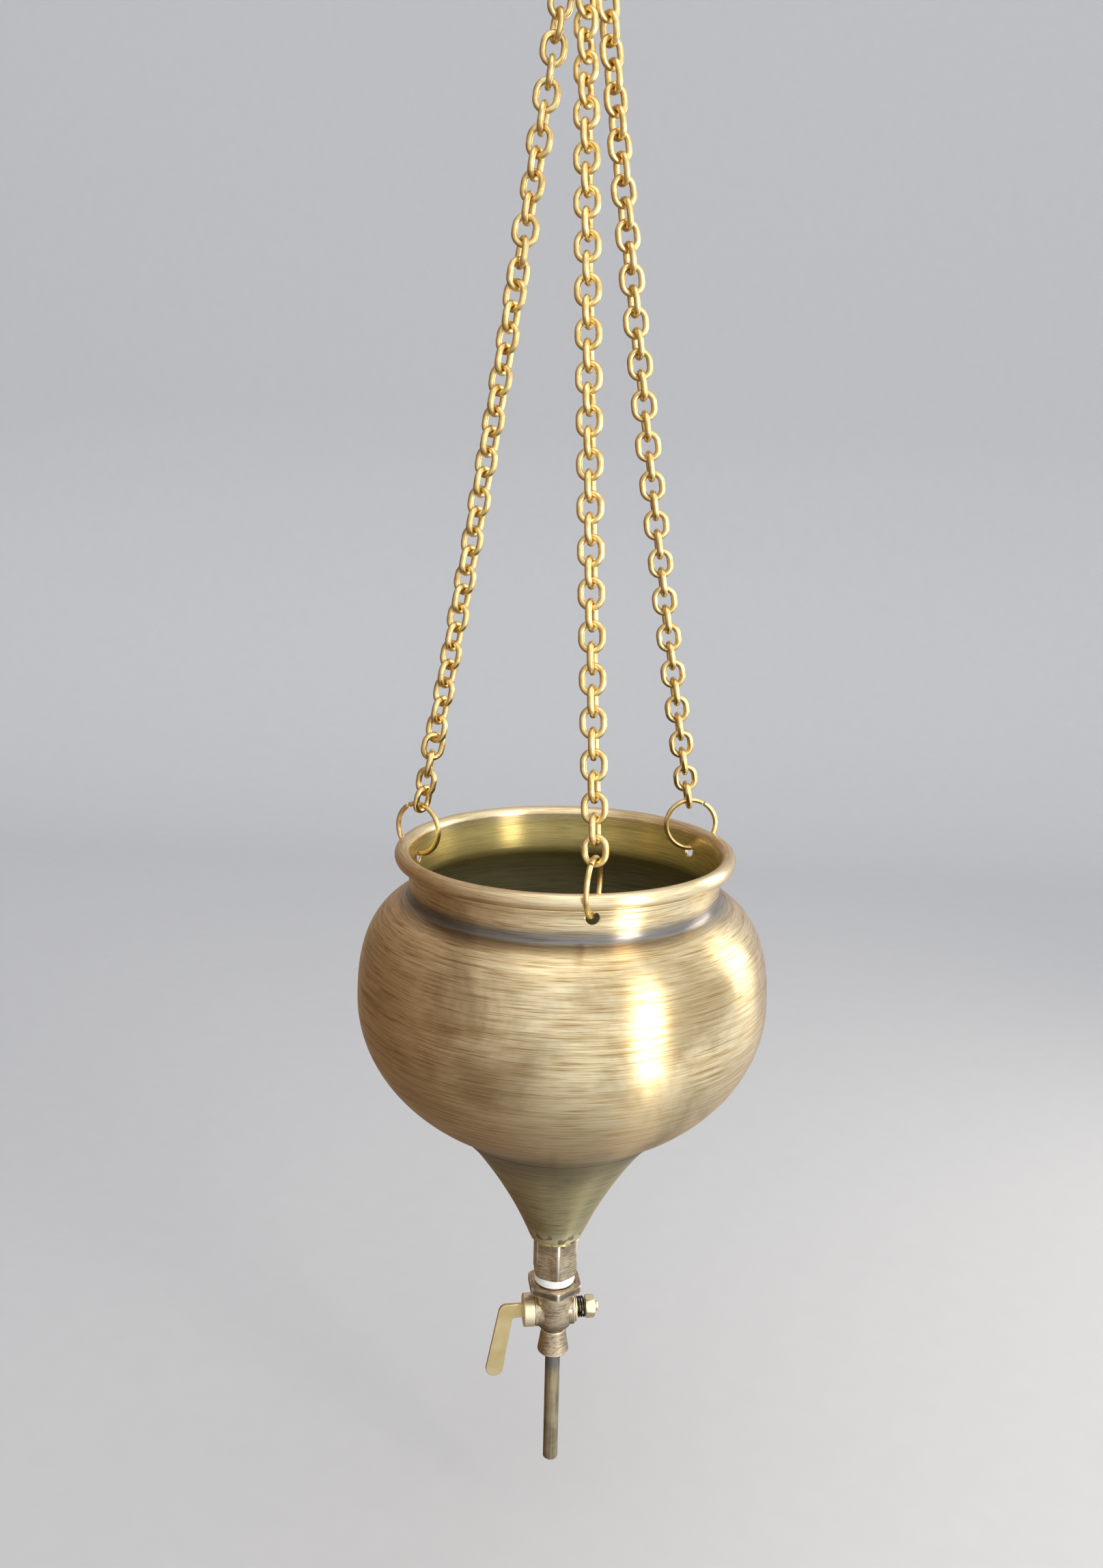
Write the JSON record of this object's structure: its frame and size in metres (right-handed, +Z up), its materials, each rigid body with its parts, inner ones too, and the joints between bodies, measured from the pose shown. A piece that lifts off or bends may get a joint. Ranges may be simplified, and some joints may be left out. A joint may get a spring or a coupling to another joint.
{
  "type": "shirodhara pot",
  "caption": "Spun brass oil pot with a funnel base, hung on chains from a hook, with a lever-operated plug valve and a drip tube that lets down a thin, steady stream of oil.",
  "frame": {"origin": "middle of the hook's upper bow, where the bar that it hangs on goes through", "axes": "+Z up along the pot's axis, +X to the right and -Y to the front, the side that the picture shows; the valve's lever points left, turned 12 degrees towards the front"},
  "size_m": [0.2028, 0.2028, 0.845],
  "materials": {
    "brushed_brass": "circumferentially brushed antique brass",
    "dark_brass": "darker brushed brass",
    "bright_brass": "satin bright brass",
    "aged_brass": "aged machined brass",
    "polished_brass": "polished brass",
    "black_steel": "blackened spring steel",
    "white_tape": "white thread tape",
    "tube_brass": "dull drawn tube"
  },
  "bodies": {
    "hook": {"hook": "bright_brass"},
    "gather_ring": {"gather_ring": "bright_brass"},
    "pot": {"chain_front": "bright_brass", "chain_right": "bright_brass", "chain_left": "bright_brass", "bowl": "brushed_brass", "funnel": "dark_brass", "hex_socket": "aged_brass", "ptfe_tape": "white_tape", "valve_body": "aged_brass", "drip_tube": "tube_brass"},
    "jump_ring_front": {"jump_ring_front": "bright_brass"},
    "jump_ring_right": {"jump_ring_right": "bright_brass"},
    "jump_ring_left": {"jump_ring_left": "bright_brass"},
    "valve_plug": {"plug": "polished_brass", "lever": "polished_brass", "lever_pin": "aged_brass", "washer": "polished_brass", "spring": "black_steel", "nut": "polished_brass"}
  },
  "joints": [
    {"name": "ring_swing", "type": "hinge", "parent": "hook", "child": "gather_ring", "pos_m": [0, 0, -0.056], "axis": [0, 1, 0], "range_deg": [-25, 25]},
    {"name": "pot_swing", "type": "hinge", "parent": "gather_ring", "child": "pot", "pos_m": [0, 0, -0.0816], "axis": [1, 0, 0], "range_deg": [-25, 25]},
    {"name": "plug_turn", "type": "hinge", "parent": "pot", "child": "valve_plug", "pos_m": [0, 0, -0.73905], "axis": [0.9781, 0.2079, 0], "range_deg": [-90, 90]},
    {"name": "jump_ring_front_turn", "type": "hinge", "parent": "pot", "child": "jump_ring_front", "pos_m": [0.01703, -0.07376, -0.48205], "axis": [0.9816, -0.1908, 0], "continuous": true},
    {"name": "jump_ring_right_turn", "type": "hinge", "parent": "pot", "child": "jump_ring_right", "pos_m": [0.06201, 0.04342, -0.48205], "axis": [-0.1219, 0.9925, 0], "continuous": true},
    {"name": "jump_ring_left_turn", "type": "hinge", "parent": "pot", "child": "jump_ring_left", "pos_m": [-0.07477, 0.01184, -0.48205], "axis": [-0.4848, -0.8746, 0], "continuous": true}
  ]
}
